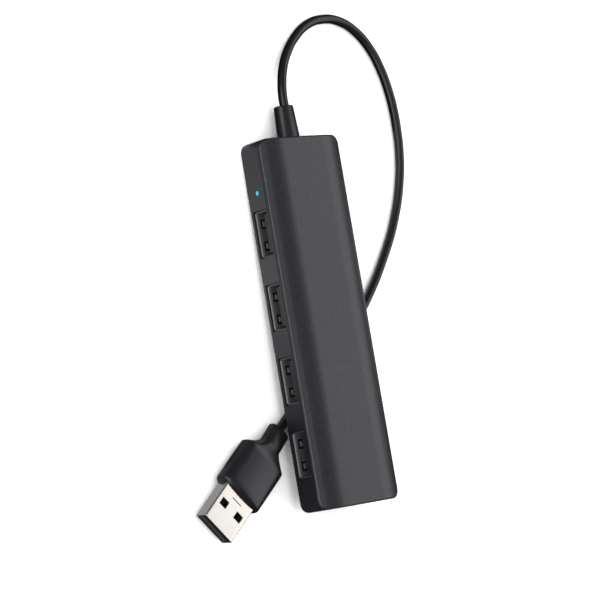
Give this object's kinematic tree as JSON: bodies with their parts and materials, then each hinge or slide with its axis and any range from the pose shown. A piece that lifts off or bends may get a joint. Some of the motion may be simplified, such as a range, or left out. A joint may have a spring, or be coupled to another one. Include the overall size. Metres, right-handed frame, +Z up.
{
  "type": "usb hub",
  "caption": "Slim bar-shaped USB hub with type A ports along one long side, an indicator light, and a short captive lead ending in a type A plug.",
  "frame": {"origin": "middle of the case's footprint on the surface it lies on, measured on the hub without its lead and plug", "axes": "+X along the case, from the end where the lead leaves to the far end; -Y the way the ports face; +Z up. The case is pitched up about 3 degrees towards +X because it lies on its own lead."},
  "size_m": [0.1484, 0.0953, 0.016],
  "materials": {
    "case": "fine matt texture",
    "circuit_board": "solder mask",
    "port_shell": "dark plated",
    "insulator": "moulded",
    "contact": "gold flash",
    "chip": "epoxy",
    "nickel": "bright nickel plate",
    "led": "lit lens",
    "wire_red": "insulation",
    "wire_white": "insulation",
    "wire_green": "insulation",
    "wire_black": "insulation",
    "grip": "moulded soft vinyl",
    "cord": "smooth vinyl jacket"
  },
  "bodies": {
    "hub": {"bottom_case": "case", "top_cover": "case", "circuit_board": "circuit_board", "port_1_shell": "port_shell", "port_1_tongue": "insulator", "port_2_shell": "port_shell", "port_2_tongue": "insulator", "port_3_shell": "port_shell", "port_3_tongue": "insulator", "port_4_shell": "port_shell", "port_4_tongue": "insulator", "controller_chip": "chip", "crystal": "nickel", "capacitor_1": "nickel", "capacitor_2": "nickel", "led": "led", "light_pipe": "led", "wire_red": "wire_red", "wire_white": "wire_white", "wire_green": "wire_green", "wire_black": "wire_black", "strain_relief": "grip", "cord": "cord", "plug_grip": "grip", "plug_shell": "nickel", "plug_insert": "insulator", "plug_contact_1": "contact", "plug_contact_2": "contact", "plug_contact_3": "contact", "plug_contact_4": "contact"},
    "port_1_contacts": {"port_1_contact_1": "contact", "port_1_contact_2": "contact", "port_1_contact_3": "contact", "port_1_contact_4": "contact"},
    "port_2_contacts": {"port_2_contact_1": "contact", "port_2_contact_2": "contact", "port_2_contact_3": "contact", "port_2_contact_4": "contact"},
    "port_3_contacts": {"port_3_contact_1": "contact", "port_3_contact_2": "contact", "port_3_contact_3": "contact", "port_3_contact_4": "contact"},
    "port_4_contacts": {"port_4_contact_1": "contact", "port_4_contact_2": "contact", "port_4_contact_3": "contact", "port_4_contact_4": "contact"}
  },
  "joints": [
    {"name": "port_1_contact_flex", "type": "hinge", "parent": "hub", "child": "port_1_contacts", "pos_m": [-0.02671, -0.00255, 0.00581], "axis": [-0.9986, 0, -0.0526], "range_deg": [0, 2.5], "stiffness_Nm_per_rad": 0.6},
    {"name": "port_2_contact_flex", "type": "hinge", "parent": "hub", "child": "port_2_contacts", "pos_m": [-0.00549, -0.00255, 0.00692], "axis": [-0.9986, 0, -0.0526], "range_deg": [0, 2.5], "stiffness_Nm_per_rad": 0.6},
    {"name": "port_3_contact_flex", "type": "hinge", "parent": "hub", "child": "port_3_contacts", "pos_m": [0.01573, -0.00255, 0.00804], "axis": [-0.9986, 0, -0.0526], "range_deg": [0, 2.5], "stiffness_Nm_per_rad": 0.6},
    {"name": "port_4_contact_flex", "type": "hinge", "parent": "hub", "child": "port_4_contacts", "pos_m": [0.03695, -0.00255, 0.00916], "axis": [-0.9986, 0, -0.0526], "range_deg": [0, 2.5], "stiffness_Nm_per_rad": 0.6}
  ]
}
